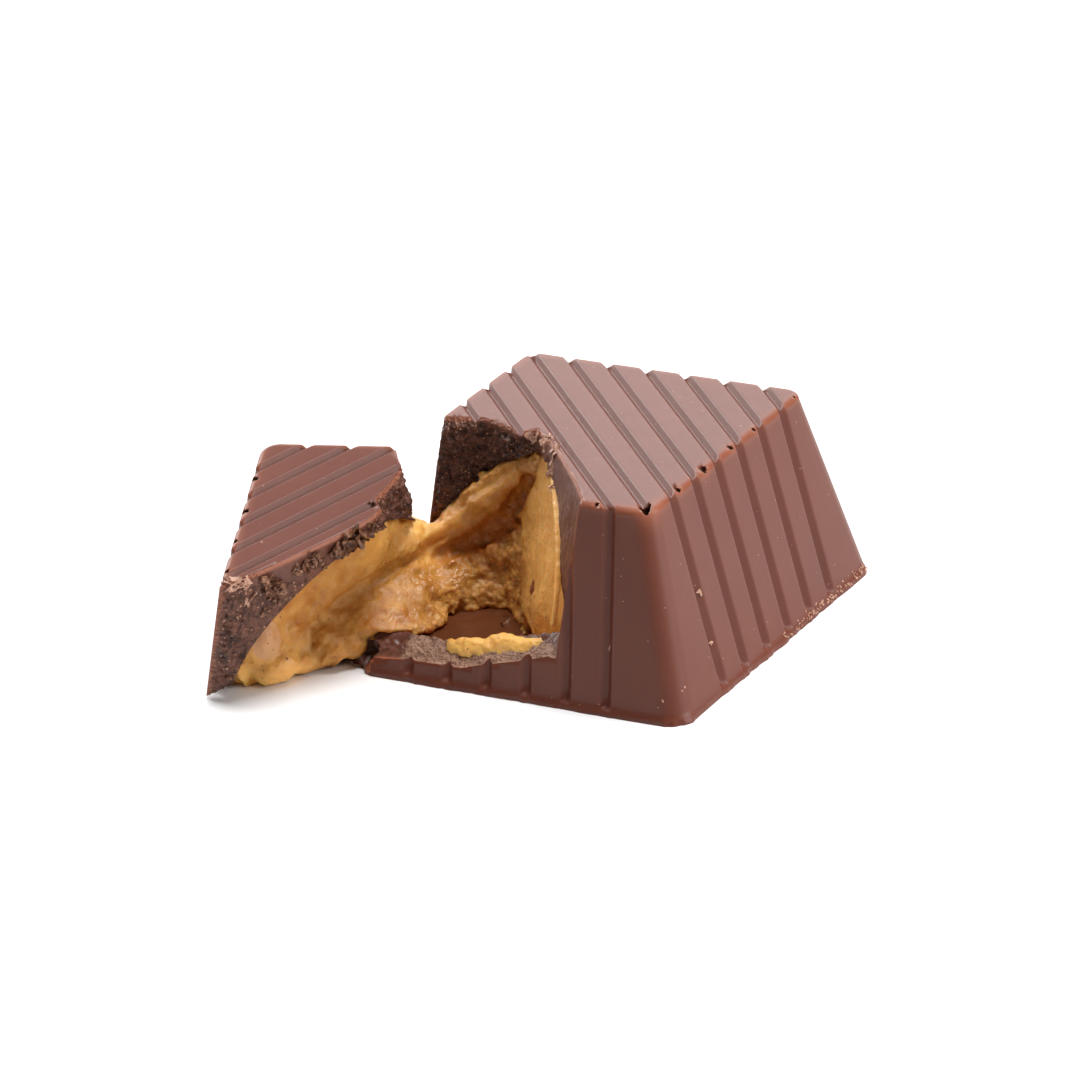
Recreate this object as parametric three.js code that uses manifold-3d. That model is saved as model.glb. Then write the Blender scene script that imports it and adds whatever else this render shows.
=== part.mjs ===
// A moulded praline with its corner broken away: a grooved milk-chocolate shell, the corner that
// lies beside it, and the peanut filling that still runs from the one to the other.
// Millimetres, +Z up. The origin is the centre of the block's base. The front faces -Y.
import * as THREE from "three";
import { mergeVertices } from "three/addons/utils/BufferGeometryUtils.js";
import { ImprovedNoise } from "three/addons/math/ImprovedNoise.js";
import Module from "manifold-3d";

const wasm = await Module();
wasm.setup();

// ---------------------------------------------------------------- driving dimensions
const BASE_SIDE = 30.2;
const TOP_SIDE = 23.8;
const HEIGHT = 15.4;
const CORNER_R = 1.9; // upright corners, at the base
const ARC_STEPS = 1; // half the facets round an upright corner
const EDGE_R = 0.4; // rounding of the top edge
const RIM = { height: 0.4, proud: 0.1 }; // thin scraped rim round the base
const GROOVE = { pitch: 3.37, width: 1.25, depth: 0.32 }; // pitch is along an edge of the top
const CUT_ABOVE = 0.2; // how far a groove's cutter stands out of the face
const GROOVES_EACH_SIDE = 6; // of the one that runs from corner to corner
const WALL = 1.7; // shell beside the filling
const FLOOR = 1.7; // shell below the filling
const CAVITY = { shoulder: 5.1, crown: 14.3, squareness: 6 }; // straight walls, then a low dome
const CLEARANCE = 0.3; // between filling and chocolate

const BASE_HALF = BASE_SIDE / 2;
const TOP_HALF = TOP_SIDE / 2;
const OUTSIDE = 17; // beyond every face of the block
const SHORTEST_EDGE = 0.02;
const ABOVE_TABLE = 0.03; // gap below the filling where it sags down to the table

// How the broken corner lies: turned about Z, then tilted about a level axis, about the top
// corner of the mould, which comes to rest at this place.
const CORNER_POSE = { place: [-24.1, -7.5, 14.08], turn: -69.6, tilt: 12.8, tiltHeading: 29.8 };

// Where the top plate broke, from the -X side, past the middle, to the -Y side.
const BREAK_LINE = [
  [-16.5, -1.9], [-11.8, -1.7], [-8.9, -0.8], [-6.3, -1.5], [-4.8, -2.1], [-3.7, -1.5],
  [-1.6, -2.9], [1.7, -6.3], [4.7, -9.8], [6.0, -12.0], [6.3, -17.0],
];
// The filling tore along a plainer line, a little deeper into the block.
const TEAR_LINE = [
  [-16.5, -1.7], [-9.0, -1.6], [-5.0, -1.5], [-3.1, -1.3], [-1.2, -2.6], [2.4, -6.6],
  [5.6, -10.2], [6.6, -12.0], [7.0, -17.0],
];
// The corner's own filling stands nearly upright, with a bulge where a nut sits.
const CORNER_FACE = [
  [-16.5, -1.5], [-8.0, -1.5], [-4.4, -1.9], [-2.9, -3.6], [-0.3, -6.6], [2.4, -9.3],
  [4.4, -11.4], [5.8, -13.2], [6.4, -17.0],
];
const HALFWAY = 0.42; // share of each line before it turns from along X to the diagonal
const BLOCK_LEAN = { side: 0.02, diagonal: 0.24 }; // how far the face moves for each mm down
const TEAR_LEAN = { side: 0.15, diagonal: 0.24 };
const CORNER_LEAN = { side: -0.06, diagonal: 0 };
const UPRIGHT = { side: 0, diagonal: 0 };

// Height at which the wall broke, by distance along it from the missing corner: first what stayed
// on the block, then where the corner's own walls end. Both rise towards the inside of the wall.
const STUMP = {
  height: [[0, 0.9], [5.6, 1.1], [6.6, 1.8], [11.5, 1.9], [14.5, 2.7], [18, 3.3], [40, 3.3]],
  slope: 0.4,
  most: 0.7,
};
const CORNER_HEM = {
  height: [[0, 0.9], [5.6, 1.8], [10, 2.7], [14.8, 3.7], [20.6, 4.9], [40, 5.0]],
  slope: 0.7,
  most: 1.2,
};
// The lost tip of the base's own corner: a cut across it, at this heading.
const LOST_TIP = { through: [-13.2, -13.9], heading: -31 };
// The rope of filling that sticks along the inside of the front stump: its path and thickness.
const LEDGE = {
  path: [[-4.8, -13.2, 2.0], [-2.9, -12.7, 2.5], [-1.2, -12.0, 2.7], [1.4, -12.1, 2.7], [4.6, -12.0, 3.2]],
  radius: 1.0,
};

// Air bubbles that broke open along the top edges: place along the edge, radius.
const FRONT_EDGE_PITS = [[8.6, 0.35], [11.5, 0.6], [-7.3, 0.35], [-3.2, 0.35], [1.4, 0.3]];
const RIGHT_EDGE_PITS = [[-7.5, 0.42], [-3.6, 0.48], [0.6, 0.38], [4.2, 0.36], [7.6, 0.34]];

// The stretched filling: rails from inside the block, over the stumps, to inside the corner.
const STRAND = {
  crest: [
    [-6.5, -0.8, 11.2], [-10.3, -1.9, 8.9], [-12.9, -2.7, 6.8],
    [-13.1, -4.6, 7.7], [-14.2, -7.4, 8.6], [-16.4, -10.4, 8.6],
  ],
  slope: [
    [-6.0, -2.6, 6.0], [-8.9, -3.6, 5.2], [-10.7, -5.6, 4.5],
    [-12.0, -8.2, 4.6], [-13.6, -10.8, 4.9], [-16.2, -13.6, 4.9],
  ],
  toe: [
    [-6.4, -3.9, 2.0], [-8.8, -6.3, 1.9], [-8.9, -10.3, 2.0],
    [-10.4, -12.9, 2.7], [-12.9, -13.9, 2.7], [-15.6, -14.8, 0.8],
  ],
  keel: [
    [-8.4, -1.2, 2.0], [-10.6, -3.4, 2.1], [-11.6, -6.6, 2.4],
    [-13.2, -9.0, 2.5], [-14.8, -11.2, 1.6], [-17.0, -13.0, 0.5],
  ],
  back: [
    [-8.5, 0.2, 7.0], [-11.6, -1.0, 6.2], [-13.9, -2.4, 4.8],
    [-15.2, -5.0, 4.8], [-16.8, -8.2, 4.8], [-19.0, -11.6, 4.8],
  ],
};

// Swellings of the torn faces: place, radii.
const LUMPS = [
  { at: [-19.4, -18.0, 3.0], r: [2.4, 2.4, 2.5] }, // a nut under the filling
  { at: [-18.2, -15.6, 2.2], r: [2.2, 2.2, 2.2] },
  { at: [-18.6, -18.0, 1.3], r: [1.9, 2.0, 1.3] },
  { at: [-15.9, -14.3, 1.6], r: [2.0, 1.5, 1.6] },
  { at: [-14.4, -5.2, 6.9], r: [2.2, 2.0, 1.6] },
];

// ---------------------------------------------------------------- helpers
const noise = new ImprovedNoise();

// Broken chocolate: coarse steps with finer grit on them, as a height from about -1 to 1.
function crag(x, y, z) {
  const coarse = noise.noise(x * 0.32 + 7.3, y * 0.32, z * 0.32);
  const fine = noise.noise(x * 0.9, y * 0.9 + 3.1, z * 0.9);
  return coarse + 0.6 * fine;
}

function toSolid(geometry) {
  const bare = new THREE.BufferGeometry();
  bare.setAttribute("position", geometry.getAttribute("position").clone());
  if (geometry.index) bare.setIndex(geometry.index);
  const merged = mergeVertices(bare, 1e-4);
  return new wasm.Manifold(
    new wasm.Mesh({
      numProp: 3,
      vertProperties: new Float32Array(merged.getAttribute("position").array),
      triVerts: new Uint32Array(merged.index.array),
    }),
  );
}

function toGeometry(solid) {
  const mesh = solid.getMesh();
  const geometry = new THREE.BufferGeometry();
  geometry.setAttribute("position", new THREE.BufferAttribute(mesh.vertProperties, 3));
  geometry.setIndex(new THREE.BufferAttribute(mesh.triVerts, 1));
  return geometry;
}

const joined = (solids) => solids.reduce((all, next) => all.add(next));

function moveVertices(geometry, move) {
  const position = geometry.getAttribute("position");
  const v = new THREE.Vector3();
  for (let i = 0; i < position.count; i++) {
    v.fromBufferAttribute(position, i);
    move(v);
    position.setXYZ(i, v.x, v.y, v.z);
  }
  return geometry;
}

// The value at a place in a list of [place, value] stops.
function between(stops, place) {
  const next = stops.findIndex(([at]) => at > place);
  if (next < 1) return next === 0 ? stops[0][1] : stops[stops.length - 1][1];
  const [from, low] = stops[next - 1];
  const [to, high] = stops[next];
  return THREE.MathUtils.mapLinear(place, from, to, low, high);
}

// A solid of one outline, drawn at half width 1, whose half width changes from level to level.
function stack(outline, levels) {
  const steps = levels.length - 1;
  const geometry = new THREE.ExtrudeGeometry(outline, { depth: steps, steps, bevelEnabled: false });
  return moveVertices(geometry, (v) => {
    const { z, half } = levels[Math.round(v.z)];
    v.set(v.x * half, v.y * half, z);
  });
}

// ---------------------------------------------------------------- outlines
function roundedSquare(radius) {
  const flat = 1 - radius;
  const shape = new THREE.Shape();
  [[1, 1, 0], [-1, 1, 90], [-1, -1, 180], [1, -1, 270]].forEach(([sx, sy, start]) => {
    const from = THREE.MathUtils.degToRad(start);
    shape.absarc(sx * flat, sy * flat, radius, from, from + Math.PI / 2, false);
  });
  return new THREE.Shape(shape.getPoints(ARC_STEPS));
}

function softSquare(squareness, count) {
  const points = Array.from({ length: count }, (_, i) => {
    const angle = (i / count) * 2 * Math.PI;
    const [c, s] = [Math.cos(angle), Math.sin(angle)];
    const r = (Math.abs(c) ** squareness + Math.abs(s) ** squareness) ** (-1 / squareness);
    return new THREE.Vector2(r * c, r * s);
  });
  return new THREE.Shape(points);
}

// ---------------------------------------------------------------- the mould's form
const outerHalf = (z) => THREE.MathUtils.mapLinear(z, 0, HEIGHT, BASE_HALF, TOP_HALF);

function mouldBody(grow = 0) {
  const levels = [
    { z: -grow, half: BASE_HALF + RIM.proud + grow },
    { z: RIM.height, half: outerHalf(RIM.height) + RIM.proud + grow },
    { z: RIM.height + RIM.proud, half: outerHalf(RIM.height + RIM.proud) + grow },
    { z: HEIGHT - EDGE_R, half: outerHalf(HEIGHT - EDGE_R) + grow },
    { z: HEIGHT - 0.3 * EDGE_R, half: TOP_HALF - 0.3 * EDGE_R + grow },
    { z: HEIGHT + grow, half: TOP_HALF - EDGE_R + grow },
  ];
  return toSolid(stack(roundedSquare(CORNER_R / BASE_HALF), levels));
}

function cavityBody(shrink = 0) {
  const rise = CAVITY.crown - CAVITY.shoulder;
  const widthAt = (z, share) => (outerHalf(z) - WALL) * Math.sqrt(1 - share ** 2) - shrink;
  const floor = { z: FLOOR + shrink, half: widthAt(FLOOR, 0) };
  const dome = [0, 0.3, 0.52, 0.7, 0.83, 0.92, 0.98].map((share) => {
    const z = CAVITY.shoulder + rise * share;
    return { z: z - shrink * share, half: widthAt(z, share) };
  });
  return toSolid(stack(softSquare(CAVITY.squareness, 44), [floor, ...dome]));
}

// ---------------------------------------------------------------- grooves and pits
function grooveCutter(from, to, outward) {
  const { width, depth } = GROOVE;
  const spread = (width / 2) * (1 + CUT_ABOVE / depth);
  const section = new THREE.Shape([
    new THREE.Vector2(-spread, CUT_ABOVE),
    new THREE.Vector2(0, -depth),
    new THREE.Vector2(spread, CUT_ABOVE),
  ]);
  const along = to.clone().sub(from);
  const length = along.length();
  along.normalize();
  const across = outward.clone().cross(along).normalize();
  const geometry = new THREE.ExtrudeGeometry(section, { depth: length, bevelEnabled: false });
  const place = new THREE.Matrix4().makeBasis(across, outward.clone().normalize(), along);
  return toSolid(geometry.applyMatrix4(place.setPosition(from)));
}

// Each groove crosses the top on a diagonal and carries on straight down both faces it reaches.
function grooves() {
  const cutters = [];
  const slope = BASE_HALF - TOP_HALF;
  const foot = RIM.height + RIM.proud; // the grooves end above the rim
  for (let k = -GROOVES_EACH_SIDE; k <= GROOVES_EACH_SIDE; k++) {
    const side = Math.sign(k);
    const along = k * GROOVE.pitch - side * TOP_HALF;
    const [near, far] = k
      ? [[side * TOP_HALF, along], [along, side * TOP_HALF]]
      : [[TOP_HALF, -TOP_HALF], [-TOP_HALF, TOP_HALF]];
    const top = [near, far].map(([x, y]) => new THREE.Vector3(x, y, HEIGHT));
    cutters.push(grooveCutter(...top, new THREE.Vector3(0, 0, 1)));
    if (!k) continue;
    const feet = [
      new THREE.Vector3(side * outerHalf(foot), along, foot),
      new THREE.Vector3(along, side * outerHalf(foot), foot),
    ];
    const outwards = [
      new THREE.Vector3(side * HEIGHT, 0, slope),
      new THREE.Vector3(0, side * HEIGHT, slope),
    ];
    top.forEach((edge, i) => cutters.push(grooveCutter(edge, feet[i], outwards[i])));
  }
  return joined(cutters);
}

function pits() {
  const z = HEIGHT - EDGE_R / 2;
  const front = FRONT_EDGE_PITS.map(([x, r]) => [x, -TOP_HALF + EDGE_R / 2, r]);
  const right = RIGHT_EDGE_PITS.map(([y, r]) => [TOP_HALF - EDGE_R / 2, y, r]);
  return joined(
    [...front, ...right].map(([x, y, r]) =>
      toSolid(new THREE.SphereGeometry(r, 7, 5).translate(x, y, z)),
    ),
  );
}

// ---------------------------------------------------------------- the break
const wallEnd = ({ height, slope, most }) => (x, y) => {
  const inwards = Math.max(0, Math.min(x, y) + BASE_HALF);
  const rise = Math.min(slope * inwards, most);
  return between(height, Math.max(x, y) + BASE_HALF) + rise + 0.25 * crag(x, y, 0);
};

// The space that the missing corner leaves: a box whose near side follows the break line and
// leans out as it goes down, and whose floor follows the stumps of the walls.
function brokenSpace({ line, lean, floorAt, rough, back = 0 }) {
  const [ALONG, OUTWARDS, DOWN] = [30, 14, 8];
  const curve = new THREE.SplineCurve(line.map(([x, y]) => new THREE.Vector2(x, y)));
  const [start, end] = [line[0], line[line.length - 1]];
  const box = new THREE.BoxGeometry(1, 1, 1, ALONG, OUTWARDS, DOWN).translate(0.5, 0.5, 0.5);
  return toSolid(
    moveVertices(box, (v) => {
      const near = curve.getPointAt(v.x);
      const far =
        v.x < 0.5
          ? new THREE.Vector2(-OUTSIDE, THREE.MathUtils.lerp(start[1], -OUTSIDE, 2 * v.x))
          : new THREE.Vector2(THREE.MathUtils.lerp(-OUTSIDE, end[0], 2 * v.x - 1), -OUTSIDE);
      const share = 1 - v.y;
      const plan = near.clone().lerp(far, share);
      const low = floorAt(plan.x, plan.y) + back;
      const z = THREE.MathUtils.lerp(low, HEIGHT + 1.5, v.z);
      const turned = THREE.MathUtils.smoothstep(v.x, HALFWAY - 0.06, HALFWAY + 0.06);
      const down = HEIGHT - z;
      const grit = rough * crag(near.x, near.y, z) - back;
      near.x -= turned * (lean.diagonal * down - 0.7 * grit);
      near.y -= THREE.MathUtils.lerp(lean.side, lean.diagonal, turned) * down;
      near.y += THREE.MathUtils.lerp(1, 0.7, turned) * grit;
      near.lerp(far, share);
      v.set(near.x, near.y, z);
    }),
  );
}

const blockBreak = (back) =>
  brokenSpace({ line: BREAK_LINE, lean: BLOCK_LEAN, floorAt: wallEnd(STUMP), rough: 0.28, back });

const cornerBreak = (back) =>
  brokenSpace({ line: BREAK_LINE, lean: CORNER_LEAN, floorAt: wallEnd(CORNER_HEM), rough: 0.28, back });

// A rough cut across the tip of the base, which stays straight where it meets the table.
function lostTip(back = 0) {
  const { through, heading } = LOST_TIP;
  const size = 10;
  const box = new THREE.BoxGeometry(size, size, size, 9, 1, 6).translate(0, -size / 2 - back, 0);
  moveVertices(box, (v) => (v.y += 0.3 * Math.min(1, Math.abs(v.z)) * crag(v.x, 4, v.z)));
  box.rotateZ(THREE.MathUtils.degToRad(heading));
  return toSolid(box.translate(...through, 0));
}

const tornSpace = () =>
  brokenSpace({ line: TEAR_LINE, lean: TEAR_LEAN, floorAt: () => FLOOR - 0.6, rough: 0.45 });

const cornerFilling = () =>
  brokenSpace({ line: CORNER_FACE, lean: UPRIGHT, floorAt: () => FLOOR, rough: 0.5 });

// ---------------------------------------------------------------- the filling's strand
// Rings through the rails, joined from the block to the corner.
function strand() {
  const [STATIONS, ROUND] = [14, 18];
  const order = ["crest", "slope", "toe", "keel", "back"];
  const rails = order.map(
    (name) => new THREE.CatmullRomCurve3(STRAND[name].map((p) => new THREE.Vector3(...p))),
  );
  const positions = [];
  const index = [];
  for (let i = 0; i <= STATIONS; i++) {
    const ring = new THREE.CatmullRomCurve3(rails.map((rail) => rail.getPoint(i / STATIONS)), true);
    for (let j = 0; j < ROUND; j++) {
      const p = ring.getPoint(j / ROUND);
      const swell = 0.35 * crag(p.x, p.y, p.z);
      positions.push(p.x + 0.5 * swell, p.y - 0.5 * swell, p.z + swell);
    }
  }
  const at = (i, j) => i * ROUND + (j % ROUND);
  for (let i = 0; i < STATIONS; i++)
    for (let j = 0; j < ROUND; j++) {
      index.push(at(i, j), at(i + 1, j), at(i, j + 1));
      index.push(at(i, j + 1), at(i + 1, j), at(i + 1, j + 1));
    }
  for (let j = 1; j < ROUND - 1; j++) {
    index.push(at(0, 0), at(0, j), at(0, j + 1));
    index.push(at(STATIONS, 0), at(STATIONS, j + 1), at(STATIONS, j));
  }
  const geometry = new THREE.BufferGeometry();
  geometry.setAttribute("position", new THREE.Float32BufferAttribute(positions, 3));
  geometry.setIndex(index);
  return toSolid(geometry);
}

// A rope of even thickness along a path, with a bumpy skin.
function rope({ path, radius }) {
  const curve = new THREE.CatmullRomCurve3(path.map((p) => new THREE.Vector3(...p)));
  const outline = new THREE.Shape().absarc(0, 0, radius, 0, 2 * Math.PI);
  const section = new THREE.Shape(outline.getPoints(9).slice(0, -1));
  const geometry = new THREE.ExtrudeGeometry(section, { steps: 16, extrudePath: curve });
  return toSolid(moveVertices(geometry, (v) => (v.z += 0.35 * crag(v.x, v.y, 2))));
}

function lump({ at, r }) {
  const ball = new THREE.SphereGeometry(1, 16, 11).rotateX(Math.PI / 2).scale(...r);
  ball.translate(...at);
  return toSolid(moveVertices(ball, (v) => v.multiplyScalar(1 + 0.02 * crag(v.x, v.y, v.z))));
}

// ---------------------------------------------------------------- the three pieces
const cornerGroup = new THREE.Group();
{
  const { place, turn, tilt, tiltHeading } = CORNER_POSE;
  const heading = THREE.MathUtils.degToRad(tiltHeading);
  const tiltAxis = new THREE.Vector3(Math.cos(heading), Math.sin(heading), 0);
  cornerGroup.quaternion
    .setFromAxisAngle(tiltAxis, THREE.MathUtils.degToRad(tilt))
    .multiply(
      new THREE.Quaternion().setFromAxisAngle(
        new THREE.Vector3(0, 0, 1),
        THREE.MathUtils.degToRad(turn),
      ),
    );
  cornerGroup.position.set(...place);
  cornerGroup.updateMatrixWorld(true);
}
// From the mould's frame to where the corner lies now.
const mouldTopCorner = new THREE.Matrix4().makeTranslation(TOP_HALF, TOP_HALF, -HEIGHT);
const cornerMove = cornerGroup.matrixWorld.clone().multiply(mouldTopCorner);
const asCornerLies = (solid) => toSolid(toGeometry(solid).applyMatrix4(cornerMove));

// What lies under the table top that the object rests on.
const underTable = (height = 0) => {
  const deep = 12;
  const slab = new THREE.BoxGeometry(4 * OUTSIDE, 4 * OUTSIDE, deep);
  return toSolid(slab.translate(0, 0, height - deep / 2));
};

const cavity = cavityBody();
const mould = mouldBody().subtract(grooves()).subtract(pits());
const blockShell = mould.subtract(cavity).subtract(blockBreak(0)).subtract(lostTip());
const cornerShell = mould.subtract(cavity).intersect(cornerBreak(0));

// The same shells, fatter all round by the clearance, to cut the filling by.
const fatShell = mouldBody(CLEARANCE).subtract(cavityBody(CLEARANCE));
const fatBlock = fatShell.subtract(blockBreak(CLEARANCE)).subtract(lostTip(CLEARANCE));
const fatCorner = fatShell.intersect(cornerBreak(-CLEARANCE));

const filling = cavityBody(CLEARANCE)
  .subtract(tornSpace())
  .add(strand())
  .add(asCornerLies(cavityBody(CLEARANCE).intersect(cornerFilling())))
  .add(joined([...LUMPS.map(lump), rope(LEDGE)]))
  .subtract(fatBlock)
  .subtract(asCornerLies(fatCorner))
  .subtract(underTable(ABOVE_TABLE));

// Drops loose scraps, and edges too short to be seen.
const largest = (solid) =>
  solid
    .simplify(SHORTEST_EDGE)
    .decompose()
    .reduce((best, next) => (next.volume() > best.volume() ? next : best));

// ---------------------------------------------------------------- scene graph
const milkChocolate = new THREE.MeshStandardMaterial({ color: 0x5f3f37, roughness: 0.42 });
const brokenChocolate = new THREE.MeshStandardMaterial({ color: 0x543229, roughness: 0.5 });
const peanutFilling = new THREE.MeshStandardMaterial({ color: 0xb9813a, roughness: 0.55 });

function named(name, solid, material) {
  const mesh = new THREE.Mesh(toGeometry(largest(solid)), material);
  mesh.name = name;
  return mesh;
}

const praline = new THREE.Group();
praline.add(named("shell_block", blockShell, milkChocolate));
praline.add(named("filling", filling, peanutFilling));

// The corner keeps the mould's own frame inside its group. Its lowest edge is worn flat by the
// table it lies on.
const tableInCorner = toSolid(
  toGeometry(underTable()).applyMatrix4(cornerMove.clone().invert()),
);
const corner = named("shell_corner", cornerShell.subtract(tableInCorner), brokenChocolate);
corner.position.set(TOP_HALF, TOP_HALF, -HEIGHT);
cornerGroup.add(corner);
praline.add(cornerGroup);

export default praline;
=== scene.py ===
import math

import bpy
import numpy as np
import openvdb
from mathutils import Matrix, Quaternion, Vector
from mathutils.bvhtree import BVHTree


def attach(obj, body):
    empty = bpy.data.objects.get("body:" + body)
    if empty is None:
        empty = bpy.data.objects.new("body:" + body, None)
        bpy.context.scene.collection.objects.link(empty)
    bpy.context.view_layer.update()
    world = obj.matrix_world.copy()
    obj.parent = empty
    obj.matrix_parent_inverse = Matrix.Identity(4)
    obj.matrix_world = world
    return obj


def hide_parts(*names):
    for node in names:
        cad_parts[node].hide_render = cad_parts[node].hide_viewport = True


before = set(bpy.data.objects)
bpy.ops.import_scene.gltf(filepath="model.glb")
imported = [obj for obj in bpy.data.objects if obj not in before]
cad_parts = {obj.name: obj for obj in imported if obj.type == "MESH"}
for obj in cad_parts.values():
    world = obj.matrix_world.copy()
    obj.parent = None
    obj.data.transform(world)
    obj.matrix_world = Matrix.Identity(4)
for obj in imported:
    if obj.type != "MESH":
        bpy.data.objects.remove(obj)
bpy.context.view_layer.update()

MM = 0.001

# ---------------------------------------------------------------- sizes of the praline
BASE_SIDE = 30.2
TOP_SIDE = 23.8
HEIGHT = 15.4
CORNER_R = 1.9  # upright corners, at the base
EDGE_R = 0.5  # rounding of the top edge
RIM_HEIGHT = 0.45  # thin skirt left where the back of the mould was scraped clean
RIM_PROUD = 0.1
GROOVE_PITCH = 3.37  # along an edge of the top
GROOVE_WIDTH = 1.1
GROOVE_DEPTH = 0.44
GROOVES_EACH_SIDE = 6
WALL = 1.7
FLOOR = 1.7
SHOULDER = 5.1  # top of the cavity's straight walls
CROWN = 14.3  # top of its dome
SQUARENESS = 6

BASE_HALF = BASE_SIDE / 2
TOP_HALF = TOP_SIDE / 2
OUTSIDE = 17.0

# The corner: turned about Z, tilted about a level axis, with the mould's top corner at this place.
CORNER_PLACE = (-24.1, -7.5, 14.08)
CORNER_TURN = -69.6
CORNER_TILT = 12.8
CORNER_TILT_HEADING = 29.8

# Where the plate broke, and where the filling tore, from the -X side to the -Y side.
BREAK_LINE = [
    (-16.5, -1.9), (-11.8, -1.7), (-8.9, -0.8), (-6.3, -1.5), (-4.8, -2.1), (-3.7, -1.5),
    (-1.6, -2.9), (1.7, -6.3), (4.7, -9.8), (6.0, -12.0), (6.3, -17.0),
]
TEAR_SIDE = [(-16.5, -1.7), (-9.0, -1.6), (-5.0, -1.5), (-3.1, -1.3), (3.0, -1.3)]
TEAR_DIAGONAL = [(-3.1, -1.3), (-1.2, -2.6), (2.4, -6.6), (5.6, -10.2), (6.6, -12.0), (7.0, -17.0)]
CORNER_SIDE = [(-16.5, -1.5), (-8.0, -1.5), (-4.4, -1.9), (3.0, -1.9)]
CORNER_DIAGONAL = [
    (-4.4, -1.9), (-2.9, -3.6), (-0.3, -6.6), (2.4, -9.3), (4.4, -11.4), (5.8, -13.2), (6.4, -17.0),
]
HALFWAY = 0.42  # share of the break line before it turns onto the diagonal
# How far the breaks lean out, mm for each mm down: side, diagonal, the diagonal's end in the wall.
BLOCK_LEAN = (0.02, 0.24, 0.16)
CORNER_LEAN = (-0.06, 0.0, 0.0)
TEAR_LEAN = (0.15, 0.24, 0.16)
BEVEL = 0.16  # worn off where the breaks meet the outer faces

# Height at which the walls broke, by distance along them from the missing corner.
STUMP = [(0, 1.2), (5.0, 1.5), (6.9, 1.7), (11.5, 1.75), (12.9, 2.15), (17.2, 3.2), (18.9, 3.6), (40, 4)]
HEM = [(0, 0.9), (5.6, 1.8), (10, 2.7), (14.8, 3.7), (20.6, 4.9), (40, 5.0)]
WALL_LIP = 0.8  # a broken wall is level this far in, then climbs at this slope, up to this much
WALL_CLIMB = (0.7, 1.2)
LOST_TIP = ((-13.2, -13.9), -31)  # a cut through this place, at this heading

# Bubbles that broke open along the top edges: place along the edge, radius.
FRONT_EDGE_PITS = [(7.45, 0.19), (-7.3, 0.24), (-3.2, 0.24), (0.5, 0.2), (4.2, 0.18)]
RIGHT_EDGE_PITS = [(-7.5, 0.21), (-3.6, 0.31), (0.6, 0.21), (4.2, 0.16), (10.6, 0.11)]
FRONT_CORNER_PIT = (11.35, -11.35, 0.55)

# Bites out of the block's break, beside the top of the tear and at the end of the stump: place, radii.
BITES = [((-1.75, -3.75, 14.1), (0.5, 0.5, 0.7)), ((-10.5, -14.8, 2.3), (1.6, 0.9, 1.1)),
         ((-12.1, -14.2, 1.7), (0.9, 1.3, 1.2))]

# The stretched filling: rails from inside the block, over the stumps, to inside the corner.
STRAND = {
    "crest": [(-6.5, -0.8, 11.2), (-10.3, -1.9, 8.9), (-12.9, -2.7, 6.8),
              (-13.1, -4.6, 7.7), (-14.2, -7.4, 8.6), (-16.4, -10.4, 8.6)],
    "slope": [(-6.0, -2.2, 6.0), (-8.9, -3.4, 5.2), (-10.7, -5.6, 4.5),
              (-12.0, -8.2, 4.6), (-13.6, -10.8, 4.9), (-16.2, -13.6, 4.9)],
    "toe": [(-6.4, -3.9, 2.0), (-8.8, -6.3, 1.9), (-8.9, -10.3, 2.0),
            (-10.4, -12.9, 2.7), (-12.9, -13.9, 2.7), (-15.6, -14.8, 0.8)],
    "keel": [(-8.4, -1.2, 2.0), (-10.6, -3.4, 2.1), (-11.6, -6.6, 2.4),
             (-13.2, -9.0, 2.5), (-14.8, -11.2, 1.6), (-17.0, -13.0, 0.5)],
    "back": [(-8.5, 0.2, 7.0), (-11.6, -1.0, 6.2), (-13.9, -2.4, 4.8),
             (-15.2, -5.0, 4.8), (-16.8, -8.2, 4.8), (-19.0, -11.6, 4.8)],
}
LEDGE = [(-5.0, -13.2, 2.5, 0.5), (-3.4, -13.0, 2.6, 0.9), (-1.2, -12.8, 2.85, 1.05),
         (1.0, -12.7, 3.1, 1.0), (2.7, -12.7, 3.3, 0.8), (3.8, -12.7, 3.5, 0.4)]
# Swellings of the torn faces: place, radii, how far they blend into what carries them.
LUMPS = [
    ((-19.4, -18.0, 3.0), (2.4, 2.4, 2.5), 0.7),
    ((-18.2, -15.6, 2.2), (2.2, 2.2, 2.2), 0.7),
    ((-18.2, -17.8, 1.3), (2.1, 2.3, 1.35), 0.5),
    ((-16.8, -15.8, 1.0), (1.5, 1.9, 1.0), 0.5),
    ((-15.6, -14.5, 1.6), (2.0, 1.7, 1.6), 0.7),
    ((-18.2, -19.0, 0.45), (1.1, 0.7, 0.45), 0.3),
    ((-17.5, -18.0, 0.5), (0.8, 0.9, 0.5), 0.3),
    ((-14.0, -13.9, 1.5), (1.3, 1.0, 1.1), 0.4),
    ((-14.4, -5.2, 6.9), (2.2, 2.0, 1.6), 0.7),
]
NUT = ((-18.35, -18.75, 3.5), (1.25, 1.3, 1.75))  # a piece of peanut, its cut side showing

# Ridges and hollows of the torn filling: place, radius.
ROLLED_EDGE = [(-5.3, -1.8, 11.8, 0.6), (-6.7, -2.2, 10.5, 0.65), (-8.4, -2.4, 9.2, 0.65),
               (-9.8, -2.6, 8.2, 0.6), (-11.2, -3.1, 7.1, 0.55), (-12.4, -4.2, 6.9, 0.5)]
# The crest is painted pale in the material, as a glow of light through it.
CREST = [(-13.3, -8.6, 8.8, 0.8), (-13.2, -7.2, 8.6, 1.2), (-12.8, -6.0, 7.6, 1.0), (-12.2, -4.8, 6.8, 0.7)]
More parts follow.
